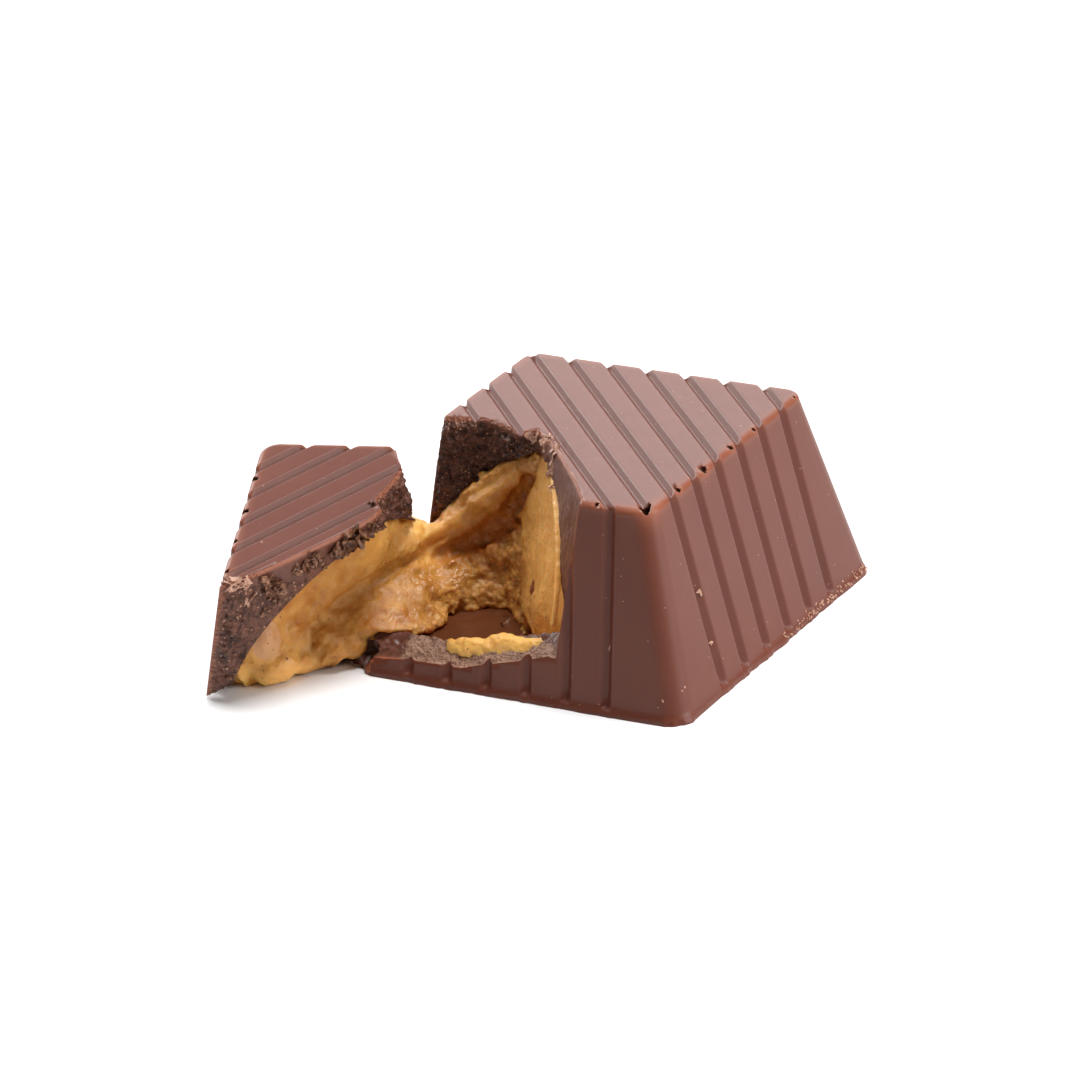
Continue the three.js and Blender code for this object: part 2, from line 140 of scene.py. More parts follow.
# Where the paste is wet with oil, and where it is squeezed out beside the table and painted pale as a glow
# of light.
WET = [(-12.6, -8.6, 6.4, 0.7), (-11.2, -7.6, 6.3, 1.1), (-10.2, -6.7, 6.0, 1.1), (-9.6, -5.4, 5.8, 0.8)]
TOES = [(-19.3, -19.8, 0.6, 0.6), (-18.2, -19.0, 0.5, 0.8), (-17.2, -18.0, 0.6, 0.7)]
# Paste squeezed over the broken wall's inner edge.
SMEAR = [(-1.1, -4.0, 13.5, 0.15), (0.6, -6.4, 12.5, 0.15), (1.9, -8.6, 11, 0.15), (2.8, -10.5, 9, 0.15),
         (3.2, -11.8, 7, 0.15), (3.1, -12.4, 5.4, 0.15)]
TEAR_HOLLOW = [(-4.6, -1.5, 11.0, 0.6), (-5.4, -1.6, 9.6, 0.9), (-6.7, -2.1, 8.0, 0.8),
               (-8.2, -2.6, 6.7, 0.7), (-9.8, -3.2, 5.9, 0.6), (-11.0, -4.4, 5.6, 0.4)]
CREASE = [(-11.1, -4.4, 5.6, 0.5), (-12.3, -6.9, 5.8, 0.6), (-13.1, -9.9, 5.5, 0.65),
          (-14.2, -11.9, 4.9, 0.55), (-15.2, -13.4, 4.2, 0.4)]
STRIP_FLOW = (-0.285, 0.631, 0.72)  # the way the paste was drawn out
STRAND_FLOW = (-0.39, -0.75, -0.52)
WET_LOBE = [(-9.9, -5.4, 2.6, 0.9), (-11.1, -7.2, 3.0, 1.1), (-12.0, -9.6, 3.0, 1.1),
            (-12.9, -11.9, 2.5, 1.1), (-13.9, -13.2, 1.9, 0.8)]
HOLES = [((-20.3, -21.1, 0.1), (1.2, 1.3, 1.0)), ((-4.1, -5.3, 2.9), (0.75, 0.45, 0.8)),
         ((-1.9, -7.9, 2.2), (0.5, 0.5, 0.75))]
SKIN = ((-1.4, -7.0, 5.2), (0.6, 0.6, 0.62))  # a flake of red peanut skin: place, radii
# Where the smooth strip of the tear begins: height, place across the diagonal.
STRIP_EDGE = [(2.6, 9.5), (2.95, 4.0), (3.1, 1.4), (3.8, 0.7), (5.1, -0.1), (6.5, -0.45),
              (7.8, -1.2), (9.0, -1.7), (10.2, -1.6), (11.8, -1.1), (13.5, -1.0)]
# How much deeper the paste tore out beside the strip, at each height.
TORN_OUT = [(1.7, 0.3), (3.0, 0.4), (5.0, 0.55), (7.0, 0.7), (9.0, 0.8), (10.5, 0.8), (12.0, 0.4), (13.5, 0)]


# ---------------------------------------------------------------- small helpers
def line_length(points):
    return np.concatenate([[0], np.cumsum(np.linalg.norm(np.diff(points, axis=0), axis=1))])


def spline(points, count, closed=False):
    """`count` points of a smooth curve through the given ones, evenly spaced when it is open."""
    p = np.asarray(points, float)
    ends = (p[-1:], p[:2]) if closed else (2 * p[:1] - p[1:2], 2 * p[-1:] - p[-2:-1])
    p = np.vstack([ends[0], p, ends[1]])
    steps = 24
    t = np.linspace(0, 1, steps, endpoint=False)[:, None]
    parts = []
    for a, b, c, d in zip(p[:-3], p[1:-2], p[2:-1], p[3:]):
        parts.append(
            0.5 * (2 * b + (c - a) * t + (2 * a - 5 * b + 4 * c - d) * t**2
                   + (3 * b - a - 3 * c + d) * t**3)
        )
    fine = np.vstack(parts + [p[-2:-1]])
    along = line_length(fine)
    wanted = np.linspace(0, along[-1], count, endpoint=not closed)
    return np.column_stack([np.interp(wanted, along, fine[:, i]) for i in range(fine.shape[1])])


def rise(low, high, value):
    """0 below `low`, 1 above `high`, smooth between."""
    t = np.clip((value - low) / (high - low), 0, 1)
    return t * t * (3 - 2 * t)


LATTICE = np.random.default_rng(11).uniform(-1, 1, (64, 64, 64)).astype(np.float32)
TWIST = np.array(Quaternion((0.8, 0.3, -0.4, 0.35)).normalized().to_matrix(), np.float32)


def bumps(points, size, seed=0):
    """Smooth random bumps about `size` mm wide, from -1 to 1. `size` may differ by axis."""
    q = (np.asarray(points, np.float32) / np.asarray(size, np.float32)) @ TWIST + 13.7 * seed
    cell = np.floor(q).astype(np.int32)
    f = q - cell
    f = f * f * f * (f * (f * 6 - 15) + 10)
    value = 0
    for corner in np.ndindex(2, 2, 2):
        i, j, k = ((cell + corner) % 64).T
        weight = np.prod(np.where(corner, f, 1 - f), axis=1)
        value = value + weight * LATTICE[i, j, k]
    return value


def granules(points, size, seed=0):
    """Packed round grains about `size` mm wide: 1 on top of a grain, 0 in the seams."""
    q = (np.asarray(points, np.float32) / size) @ TWIST + 7.1 * seed
    cell = np.floor(q).astype(np.int32)
    nearest = np.full(len(q), 9.0, np.float32)
    for step in np.ndindex(3, 3, 3):
        near = cell + np.array(step) - 1
        i, j, k = (near % 64).T
        shift = np.stack([LATTICE[i, j, k], LATTICE[j, k, i], LATTICE[k, i, j]], axis=1)
        gap = near + 0.5 + 0.42 * shift - q
        nearest = np.minimum(nearest, np.einsum("ij,ij->i", gap, gap))
    return 1 - np.clip(np.sqrt(nearest) / 0.75, 0, 1) ** 2


def crag(points):
    """Broken chocolate's coarse steps, from about -1 to 1."""
    return bumps(points, 3.4, 1) + 0.55 * bumps(points, 1.2, 2)


def make_mesh(name, points, faces, *materials):
    mesh = bpy.data.meshes.new(name)
    mesh.from_pydata((np.asarray(points) * MM).tolist(), [], [list(map(int, f)) for f in faces])
    for made in materials:
        mesh.materials.append(made)
    mesh.validate()
    piece = bpy.data.objects.new(name, mesh)
    bpy.context.scene.collection.objects.link(piece)
    return piece


def points_of(piece):
    co = np.empty(len(piece.data.vertices) * 3, np.float32)
    piece.data.vertices.foreach_get("co", co)
    return co.reshape(-1, 3) / MM


def move_points(piece, points):
    piece.data.vertices.foreach_set("co", (np.asarray(points, np.float32) * MM).ravel())
    piece.data.update()


def merge_points(piece):
    modifier = piece.modifiers.new("weld", "WELD")
    modifier.merge_threshold = 1e-4 * MM
    apply_modifiers(piece)


def apply_modifiers(piece):
    done = bpy.data.meshes.new_from_object(piece.evaluated_get(bpy.context.evaluated_depsgraph_get()))
    piece.modifiers.clear()
    old = piece.data
    piece.data = done
    bpy.data.meshes.remove(old)


def cut(piece, tool, how="DIFFERENCE"):
    """Cuts by another solid, which is used up. New faces keep its material."""
    modifier = piece.modifiers.new("cut", "BOOLEAN")
    modifier.solver = "MANIFOLD"
    modifier.operation = how
    modifier.object = tool
    modifier.material_mode = "TRANSFER"
    apply_modifiers(piece)
    bpy.data.objects.remove(tool)


def shade_smooth(piece, sharp_angle=None):
    mesh = piece.data
    mesh.polygons.foreach_set("use_smooth", np.ones(len(mesh.polygons), bool))
    if sharp_angle:
        mesh.set_sharp_from_angle(angle=math.radians(sharp_angle))


def give(piece, name, values):
    """Stores one number a point, for the materials."""
    attribute = piece.data.attributes.new(name, "FLOAT", "POINT")
    attribute.data.foreach_set("value", np.asarray(values, np.float32))


def unit_ball():
    bpy.ops.mesh.primitive_ico_sphere_add(subdivisions=4, radius=1)
    piece = bpy.context.object
    found = points_of(piece) * MM, [list(face.vertices) for face in piece.data.polygons]
    bpy.data.objects.remove(piece)
    return found


UNIT_BALL = unit_ball()


# ---------------------------------------------------------------- materials
def colour(hex_code):
    """sRGB hex to linear."""
    parts = [int(hex_code[i : i + 2], 16) / 255 for i in (1, 3, 5)]
    return [p / 12.92 if p <= 0.04045 else ((p + 0.055) / 1.055) ** 2.4 for p in parts] + [1.0]


def add(tree, kind, settings=(), inputs=()):
    """Adds a node, sets it and its sockets, and links the sockets that are given a socket."""
    node = tree.nodes.new(kind)
    for name, value in dict(settings).items():
        setattr(node, name, value)
    for name, value in dict(inputs).items():
        if isinstance(value, bpy.types.NodeSocket):
            tree.links.new(value, node.inputs[name])
        else:
            node.inputs[name].default_value = value
    return node


def material(name):
    made = bpy.data.materials.new(name)
    made.use_nodes = True
    made.node_tree.nodes.clear()
    return made, made.node_tree


def per_mm(size):
    """The texture scale whose features are `size` mm wide, in metres."""
    return 1 / (size * MM)


def in_object(tree):
    return add(tree, "ShaderNodeTexCoord").outputs["Object"]


def stored(tree, name):
    """The number that the mesh holds under a name."""
    return add(tree, "ShaderNodeAttribute", {"attribute_name": name}).outputs["Fac"]


def noise(tree, at, size, detail, roughness=0.5):
    return add(tree, "ShaderNodeTexNoise", {}, {
        "Vector": at, "Scale": per_mm(size), "Detail": detail, "Roughness": roughness}).outputs[0]


def cells(tree, at, size):
    return add(tree, "ShaderNodeTexVoronoi", {}, {"Vector": at, "Scale": per_mm(size)}).outputs


def spread(tree, value, low, high, to_low=0.0, to_high=1.0):
    """Takes a value from one range to another, and holds it inside that."""
    return add(tree, "ShaderNodeMapRange", {}, {
        "Value": value, "From Min": low, "From Max": high, "To Min": to_low, "To Max": to_high}).outputs[0]


def work_out(tree, operation, *values):
    return add(tree, "ShaderNodeMath", {"operation": operation}, enumerate(values)).outputs[0]


def mix(tree, share, low, high):
    """Blends two colours by a share from 0 to 1."""
    return add(tree, "ShaderNodeMix", {"data_type": "RGBA"}, {0: share, 6: low, 7: high}).outputs[2]


def relief(tree, height, strength, depth):
    """Bumps a surface by its height pattern, up to `depth` mm."""
    return add(tree, "ShaderNodeBump", {}, {
        "Height": height, "Strength": strength, "Distance": depth * MM}).outputs[0]


def shade(tree, inputs):
    """Ends a material with its surface."""
    shader = add(tree, "ShaderNodeBsdfPrincipled", {"subsurface_method": "RANDOM_WALK"}, inputs)
    add(tree, "ShaderNodeOutputMaterial", {}, {"Surface": shader.outputs[0]})


def spots(tree, at, spacing, size, share, seed):
    """1 in scattered round spots, `size` mm across and `spacing` mm apart; `share` of them show."""
    moved = add(tree, "ShaderNodeVectorMath", {}, {0: at, 1: (seed * MM, 0, 0)}).outputs[0]
    found = cells(tree, moved, spacing)
    radius = size / spacing / 2
    spot = spread(tree, found["Distance"], radius, 0.6 * radius)
    chance = add(tree, "ShaderNodeSeparateColor", {}, {0: found["Color"]}).outputs[0]
    return work_out(tree, "MULTIPLY", spot, work_out(tree, "LESS_THAN", chance, share))


def moulded_milk_chocolate():
    # Milk chocolate tempered and set against a polished mould: satin brown, even, with a soft
    # sheen of cocoa butter, a painted warm glow along thin edges where light would shine through, and a fine
    # pale dust.
    made, tree = material("moulded_milk_chocolate")
    at = in_object(tree)
    tone = mix(tree, noise(tree, at, 5, 3), colour("#643224"), colour("#703b2a"))
    # Painted glow: a warmer colour along the top edges and round the pits, for light through thin chocolate.
    with_painted_edge_glow = mix(tree, stored(tree, "edge"), tone, colour("#93543a"))
    dust = spots(tree, at, 0.8, 0.11, 0.42, 0)
    dusty = mix(tree, dust, with_painted_edge_glow, colour("#b98f7d"))
    grains = spots(tree, at, 2.6, 0.2, 0.4, 5)
    grainy = mix(tree, grains, dusty, colour("#a97e69"))
    scuffs = noise(tree, at, 0.5, 6)
    waves = work_out(tree, "MULTIPLY_ADD", scuffs, 0.25, noise(tree, at, 1.7, 2))
    dusted = work_out(tree, "MULTIPLY_ADD", dust, 1.2, waves)
    height = work_out(tree, "MULTIPLY_ADD", grains, 2.0, dusted)
    shade(tree, {
        "Base Color": grainy, "Roughness": spread(tree, scuffs, 0, 1, 0.38, 0.46), "IOR": 1.48,
        "Specular IOR Level": 0.42, "Normal": relief(tree, height, 0.3, 0.05), "Subsurface Weight": 0.12,
        "Subsurface Radius": (1.0, 0.4, 0.25), "Subsurface Scale": 0.6 * MM})
    return made


def broken_milk_chocolate():
    # Milk chocolate snapped across: a dull dark mass of fine grains dotted with painted glints, smoother
    # and paler where it sheared cleanly, with a painted warm glow as a rim where the outer skin is thin.
    made, tree = material("broken_milk_chocolate")
    at = in_object(tree)
    clots = spread(tree, noise(tree, at, 0.7, 6, 0.75), 0.38, 0.62)
    grainy = mix(tree, clots, colour("#34160b"), colour("#7c4f3d"))
    # Painted glints: pale spots for light catching the grains' faces.
    with_painted_glints = mix(tree, spots(tree, at, 0.28, 0.2, 0.26, 0), grainy, colour("#b98b72"))
    floury = mix(tree, clots, colour("#7c5542"), colour("#b48b74"))
    dusty = mix(tree, stored(tree, "crushed"), with_painted_glints, floury)
    sheared = stored(tree, "sheared")
    plain = mix(tree, clots, colour("#5b3529"), colour("#704637"))
    body = mix(tree, sheared, dusty, plain)
    # Painted glow: a warm rim along the outer skin, for light through thin chocolate.
    with_painted_rim_glow = mix(tree, stored(tree, "rim"), body, colour("#9c5b3f"))
    height = work_out(tree, "ADD", cells(tree, at, 0.26)["Distance"], noise(tree, at, 0.14, 4))
    shade(tree, {
        "Base Color": with_painted_rim_glow, "Roughness": 0.4, "IOR": 1.48, "Specular IOR Level": 0.45,
        "Normal": relief(tree, height, spread(tree, sheared, 0, 1, 1.0, 0.12), 0.14)})
    return made


def loose_milk_chocolate(name, dark, pale):
    # Shavings and crumbs rubbed off the shell: dry and matte, paler on their thin edges.
    made, tree = material(name)
    clots = noise(tree, in_object(tree), 0.35, 4)
    tone = mix(tree, spread(tree, clots, 0.35, 0.65), colour(dark), colour(pale))
    shade(tree, {
        "Base Color": tone, "Roughness": 0.5, "IOR": 1.48, "Normal": relief(tree, clots, 0.5, 0.06)})
    return made


def cast_milk_chocolate():
    # The shell's inner face, set against the filling: smooth, dark and a little oily.
    made, tree = material("cast_milk_chocolate")
    at = in_object(tree)
    patches = noise(tree, at, 1.8, 4)
    tone = mix(tree, patches, colour("#562a12"), colour("#6e3d20"))
    smeared = mix(tree, spots(tree, at, 1.1, 0.4, 0.3, 2), tone, colour("#4a2412"))
    shade(tree, {
        "Base Color": smeared, "Roughness": 0.38, "IOR": 1.48, "Normal": relief(tree, patches, 0.4, 0.2)})
    return made


def ground_peanut_filling():
    # Roasted peanuts ground to a stiff paste: tan, soft, full of light, speckled with dark skin,
    # grainy and paler where it tore, with painted shade of deep amber in its hollows, a painted pale
    # glow on its crest and toes, wet with oil where it stretched.
    made, tree = material("ground_peanut_filling")
    at = in_object(tree)
    pale, grain, wet = (stored(tree, name) for name in ("pale", "grain", "wet"))
    uneven = spread(tree, noise(tree, at, 1.4, 5), 0.35, 0.65)
    plain = mix(tree, uneven, colour("#b5722b"), colour("#d39a4e"))
    # Paler paste on the ledge and the strip; on the crest and toes the pale is a painted glow of light.
    tone = mix(tree, pale, plain, colour("#ffc168"))
    seam = spread(tree, cells(tree, at, 0.42)["Distance"], 0.3, 0.75)
    grained = mix(tree, seam, colour("#dba158"), colour("#b87c36"))
    coarse = work_out(tree, "MAXIMUM", work_out(tree, "SUBTRACT", grain, pale), 0.0)
    torn = mix(tree, coarse, tone, grained)
    soaked = mix(tree, work_out(tree, "MULTIPLY", wet, 0.6), torn, colour("#ad7430"))
    # Painted shade: the tear's hollows darkened to deep amber where light falls off.
    painted_hollow_shade = mix(tree, stored(tree, "painted_hollow_shade"), soaked, colour("#b0641a"))
    nut = mix(tree, stored(tree, "nut"), painted_hollow_shade, colour("#cc9868"))
    specked = mix(tree, spots(tree, at, 0.6, 0.17, 0.5, 0), nut, colour("#8a4a1f"))
    flecked = mix(tree, spots(tree, at, 1.7, 0.28, 0.16, 3), specked, colour("#7c3a1a"))
    skinned = mix(tree, stored(tree, "skin"), flecked, colour("#7d3a28"))
    oil = noise(tree, at, 0.6, 3)
    dry = spread(tree, oil, 0.4, 0.62, 0.3, 0.56)
    gloss = add(tree, "ShaderNodeMix", {}, {0: wet, 2: dry, 3: 0.05}).outputs[0]
    pips = work_out(tree, "MULTIPLY", seam, grain)
    pitted = work_out(tree, "MULTIPLY_ADD", pips, -0.7, noise(tree, at, 0.2, 4))
    height = work_out(tree, "MULTIPLY_ADD", work_out(tree, "MULTIPLY", oil, wet), 7.0, pitted)
    shade(tree, {
        "Base Color": skinned, "Roughness": gloss, "IOR": 1.47, "Normal": relief(tree, height, 0.55, 0.15),
        "Subsurface Weight": 0.5, "Subsurface Radius": (1.0, 0.5, 0.18), "Subsurface Scale": 0.8 * MM})
    return made


MOULDED = moulded_milk_chocolate()
BROKEN = broken_milk_chocolate()
SHAVED = loose_milk_chocolate("shaved_milk_chocolate", "#9a6a54", "#cfa48c")
CRUMBLED = loose_milk_chocolate("crumbled_milk_chocolate", "#4a2614", "#96684c")
CAST = cast_milk_chocolate()
PEANUT = ground_peanut_filling()


# ---------------------------------------------------------------- the moulded form
def outer_half(z):
    return np.interp(z, [0, HEIGHT], [BASE_HALF, TOP_HALF])


def groove_depth(offset):
    """Depth at a distance, along the edge, from a groove's middle: a soft V with rounded lips."""
    u = np.abs(offset) / (GROOVE_WIDTH / 2)
    bed, lip = 0.16, 0.05
    depth = GROOVE_DEPTH * (math.hypot(1, bed) - np.hypot(u, bed)) / (math.hypot(1, bed) - bed)
    return 0.5 * (depth + np.sqrt(depth**2 + lip**2)) * rise(1.35, 1.0, u)


def edge_stations():
    """Places along half of the outline, from the left corner by the front one to the right one.

    Each is (part, value): an angle on a corner, or a place along a straight edge."""
    straight_end = TOP_HALF * (1 - CORNER_R / BASE_HALF)
    shares = np.array([0, 0.1, 0.2, 0.34, 0.5, 0.66, 0.78, 0.87, 0.94, 1.0, 1.07, 1.16, 1.26, 1.36])
    offsets = np.concatenate([-shares[:0:-1], shares]) * GROOVE_WIDTH / 2
    middles = np.array([TOP_HALF - k * GROOVE_PITCH for k in range(1, GROOVES_EACH_SIDE + 1)])
    ridges = np.concatenate([middles - GROOVE_PITCH / 2 + d for d in (-0.5, 0, 0.5)])
    edge = np.concatenate([(middles[:, None] + offsets).ravel(), ridges, [straight_end, -straight_end]])
    edge = np.unique(edge[np.abs(edge) <= straight_end].round(4))
    left = [("left", a) for a in np.linspace(225, 270, 7)[:-1]]
    front = [("front", e) for e in edge]
    corner = [("corner", a) for a in np.linspace(270, 360, 31)[1:-1]]
    right = [("right", e) for e in -edge[::-1]]
    far = [("far", a) for a in np.linspace(0, 45, 7)[1:]]
    return left + front + corner + right + far


FIXED = 9.3  # a straight edge's stations out to here go straight down; beyond, they fan out


def moulded_solid():
    stations = edge_stations()
    skirt = [0.0, 0.1, 0.22, 0.34, RIM_HEIGHT, 0.6]
    levels = [(z, outer_half(z), 0.0) for z in skirt + list(np.arange(0.9, HEIGHT - EDGE_R, 0.55))]
    brow = HEIGHT - EDGE_R
    for turn in np.linspace(0, 90, 7):
        a = math.radians(turn)
        levels.append((brow + EDGE_R * math.sin(a), outer_half(brow) - EDGE_R * (1 - math.cos(a)), turn))
    rows = np.empty((len(levels), len(stations), 3))
    for i, (z, half, turn) in enumerate(levels):
        below = min(z, brow)
        radius = CORNER_R * outer_half(below) / BASE_HALF - (outer_half(below) - half)
        centre = half - radius
        top_end = TOP_HALF * (1 - CORNER_R / BASE_HALF)
        inset = max(0.0, TOP_HALF - half)
        steep = math.radians(max(turn, 11.7))
        for j, (part, value) in enumerate(stations):
            middle = {"left": (-1, -1), "corner": (1, -1), "far": (1, 1)}.get(part)
            if middle:
                a = math.radians(value)
                out = np.array([math.cos(a), math.sin(a)])
                place = centre * np.array(middle) + radius * out
                depth = 0.0
                if part == "corner":
                    depth = groove_depth(place.sum()) * rise(20, 90, turn)
            else:
                size = abs(value)
                if size > FIXED:
                    size = np.interp(size, [FIXED, top_end], [FIXED, centre])
                along = math.copysign(size, value)
                held = rise(top_end, FIXED, abs(value))
                shift = inset * held
                if part == "front":
                    out = np.array([0.0, -1.0])
                    place = np.array([along - shift, -half])
                    offset = (TOP_HALF - value) / GROOVE_PITCH
                else:
                    out = np.array([1.0, 0.0])
                    place = np.array([half, along + shift])
                    offset = (TOP_HALF + value) / GROOVE_PITCH
                k = np.clip(round(offset), 1, GROOVES_EACH_SIDE)
                depth = groove_depth((offset - k) * GROOVE_PITCH)
                depth *= rise(RIM_HEIGHT, RIM_HEIGHT + 0.3, z)
            proud = RIM_PROUD * rise(0.6, 0.34, z)
            normal = np.array([*(out * math.cos(steep)), math.sin(steep)])
            rows[i, j] = [*place, z]
            rows[i, j] += np.array([*out, 0]) * proud - normal * depth
    foot = rows[:6].reshape(-1, 3)
    ragged = 0.09 * bumps(foot * [1, 1, 0.4], 0.9, 5) + 0.07 * bumps(foot * [1, 1, 0.4], 0.35, 6)
    outward = foot[:, :2] / np.linalg.norm(foot[:, :2], axis=1, keepdims=True)
    fade = rise(0.65, 0.2, foot[:, 2])
    foot[:, :2] += outward * (ragged * fade)[:, None]
    rows[:6] = foot.reshape(6, -1, 3)
    return solid_from_rows(rows)


def solid_from_rows(rows):
    """Closes rows of side points, mirrored about x = y, with a bridged top and bottom."""
    across = 30
    n_rows, n_stations = rows.shape[:2]
    share = np.linspace(0, 1, across + 2)[1:-1]

    def bridge(ring):
        mirrored = ring[:, [1, 0, 2]]
        return ring[None] + (mirrored - ring)[None] * share[:, None, None]

    top, bottom = bridge(rows[-1]), bridge(rows[0])
    mirrored = rows[:, :, [1, 0, 2]]
    loop = np.concatenate([bottom[::-1], rows, top, mirrored[::-1]], axis=0)
    count = len(loop)
    index = np.arange(count * n_stations).reshape(count, n_stations)
    after = np.roll(index, -1, axis=0)
    quads = np.stack([index[:, :-1], index[:, 1:], after[:, 1:], after[:, :-1]], axis=-1)
    return loop.reshape(-1, 3), quads.reshape(-1, 4)


def inner_half(z):
    share = np.clip((z - SHOULDER) / (CROWN - SHOULDER), 0, 1)
    return (outer_half(z) - WALL) * np.sqrt(1 - share**2)


def cavity_solid():
    around = np.linspace(0, 2 * math.pi, 160, endpoint=False)
    c, s = np.cos(around), np.sin(around)
    reach = (np.abs(c) ** SQUARENESS + np.abs(s) ** SQUARENESS) ** (-1 / SQUARENESS)
    unit = np.column_stack([reach * c, reach * s])
    heights = [FLOOR] + list(np.linspace(FLOOR + 0.4, SHOULDER, 8))
    shares = np.sin(np.linspace(0, math.pi / 2, 30))[1:-1]
    heights += list(SHOULDER + (CROWN - SHOULDER) * shares)
    rings = [np.column_stack([unit * inner_half(z), np.full(len(unit), z)]) for z in heights]
    points = np.vstack(rings + [[[0, 0, FLOOR]], [[0, 0, CROWN]]])
    n, levels = len(unit), len(heights)
    faces = []
    for i in range(n):
        j = (i + 1) % n
        faces += [[r * n + i, r * n + j, (r + 1) * n + j, (r + 1) * n + i] for r in range(levels - 1)]
        faces.append([levels * n, j, i])
        faces.append([levels * n + 1, (levels - 1) * n + i, (levels - 1) * n + j])
    return points, faces


# ---------------------------------------------------------------- the break
def cube_surface(counts):
    """The surface of a unit cube as a grid: points from 0 to 1, and quads facing out."""
    points, quads, start = [], [], 0
    for axis in range(3):
        a, b = [i for i in range(3) if i != axis]
        grid = np.stack(np.meshgrid(np.arange(counts[a] + 1), np.arange(counts[b] + 1),
                                    indexing="ij"), -1).reshape(-1, 2)
        index = np.arange(len(grid)).reshape(counts[a] + 1, counts[b] + 1)
        quad = np.stack([index[:-1, :-1], index[1:, :-1], index[1:, 1:], index[:-1, 1:]], -1)
        quad = quad.reshape(-1, 4)
        for end in (0, counts[axis]):
            face = np.zeros((len(grid), 3), int)
            face[:, a], face[:, b], face[:, axis] = grid[:, 0], grid[:, 1], end
            outward = (end > 0) != (axis == 1)
            points.append(face)
            quads.append((quad if outward else quad[:, ::-1]) + start)
            start += len(grid)
    points, quads = np.vstack(points), np.vstack(quads)
    merged, where = np.unique(points, axis=0, return_inverse=True)
    return merged / np.array(counts), where.reshape(-1)[quads]


def wall_end(stops, x, y):
    """The height of a broken wall, from its outer face inwards."""
    inwards = np.maximum(0, np.minimum(x, y) + BASE_HALF)
    along = np.maximum(x, y) + BASE_HALF
    slope, most = WALL_CLIMB
    return np.interp(along, *np.array(stops).T) + np.clip(slope * (inwards - WALL_LIP), 0, most)


def broken_space(name, lean, stops, grit, bevel):
    """The space that the missing corner leaves. `grit(points, share)` is its roughness in mm."""
    unit, quads = cube_surface((270, 110, 130))
    curve = spline(BREAK_LINE, 1500)
    along, outward, up = unit.T
    share = np.linspace(0, 1, len(curve))
    line = np.column_stack([np.interp(along, share, curve[:, i]) for i in range(2)])
    start, end = curve[0], curve[-1]
    first = along < 0.5
    far = np.column_stack([
        np.where(first, -OUTSIDE, -OUTSIDE + (2 * along - 1) * (end[0] + OUTSIDE)),
        np.where(first, start[1] + 2 * along * (-OUTSIDE - start[1]), -OUTSIDE),
    ])
    distance = (1 - outward)[:, None]

    def drawn_out(edge):
        return edge * (1 - distance) + far * distance

    turned = rise(HALFWAY - 0.06, HALFWAY + 0.06, along)
    slant = lean[1] + (lean[2] - lean[1]) * rise(0.66, 0.82, along)
    lean_out = np.column_stack([slant * turned, lean[0] + (slant - lean[0]) * turned])
    low = wall_end(stops, *drawn_out(line).T)
    low = wall_end(stops, *drawn_out(line - lean_out * (HEIGHT - low)[:, None]).T)
    z = low + (HEIGHT + 1.5 - low) * up
    edge = line - lean_out * (HEIGHT - z)[:, None]
    places = np.column_stack([edge, z])
    roughness = grit(places, along) + bevel * rise(0.3, 0.0, skin_depth(places))
    edge += np.column_stack([0.7 * turned, 1 - 0.3 * turned]) * roughness[:, None]
    plan = drawn_out(edge)
    z = z + (1 - up) * 0.5 * grit(np.column_stack([plan, low]), np.zeros(len(low)))
    return make_mesh(name, np.column_stack([plan, z]), quads, BROKEN)


def grains_of_break(points, strength):
    packed = 0.5 * (granules(points, 0.55, 1) - 0.5) + 0.25 * (granules(points, 0.3, 2) - 0.5)
    return strength * packed + 0.1 * strength * bumps(points, 0.2, 3)


def skin_depth(points):
    """How far a point lies under the mould's outer faces."""
    half = outer_half(points[:, 2])
    sides = half - np.maximum(np.abs(points[:, 0]), np.abs(points[:, 1]))
    return np.clip(np.minimum(sides, HEIGHT - points[:, 2]), 0, None)


def across_and_behind(x, y):
    """Distances across the block's diagonal tear, and back along the line from the lost corner."""
    return (x - y) / math.sqrt(2), (x + y) / math.sqrt(2)


def near_skin(points):
    """The break runs truer where it meets the outer faces."""
    return 0.06 + 0.94 * rise(0.15, 0.9, skin_depth(points))


def block_grit(points, along):
    smooth = rise(HALFWAY - 0.05, HALFWAY + 0.05, along)
    rough = 0.22 * crag(points) * (1 - 0.5 * smooth) + grains_of_break(points, 0.75 * (1 - 0.92 * smooth))
    return rough * near_skin(points)


def corner_grit(points, along):
    smooth = rise(HALFWAY - 0.05, HALFWAY + 0.08, along) * rise(0.84, 0.76, along)
    rough = 0.24 * crag(points) * (1 - 0.7 * smooth) + grains_of_break(points, 0.75 * (1 - 0.95 * smooth))
    return rough * near_skin(points)


def clean_shear(points, start, end):
    """1 where the wall sheared cleanly along the diagonal, from one distance across it to another."""
    across, _ = across_and_behind(points[:, 0], points[:, 1])
    return rise(start, start + 1.2, across) * rise(end + 1.0, end, across)


def block_shear(points):
    """The block's clean break: down the diagonal, and round the bites at the stump's end."""
    x, y, z = points.T
    diagonal = clean_shear(points, -1.9, 30) * (z > 4.2)
    return np.maximum(diagonal, rise(-8.9, -9.6, x) * (y < -12.4) * (z < 3.4))


def corner_shear(points):
    """The corner's clean band: under its top edge, thinning out towards its tip."""
    across, _ = across_and_behind(points[:, 0], points[:, 1])
    band = np.interp(across, [-2, 2, 6, 9], [5.5, 4.2, 2.3, 1.3])
    band += 0.3 * bumps(points, 0.8, 14)
    return clean_shear(points, -1.6, 9.0) * rise(band + 0.25, band - 0.25, HEIGHT - points[:, 2])


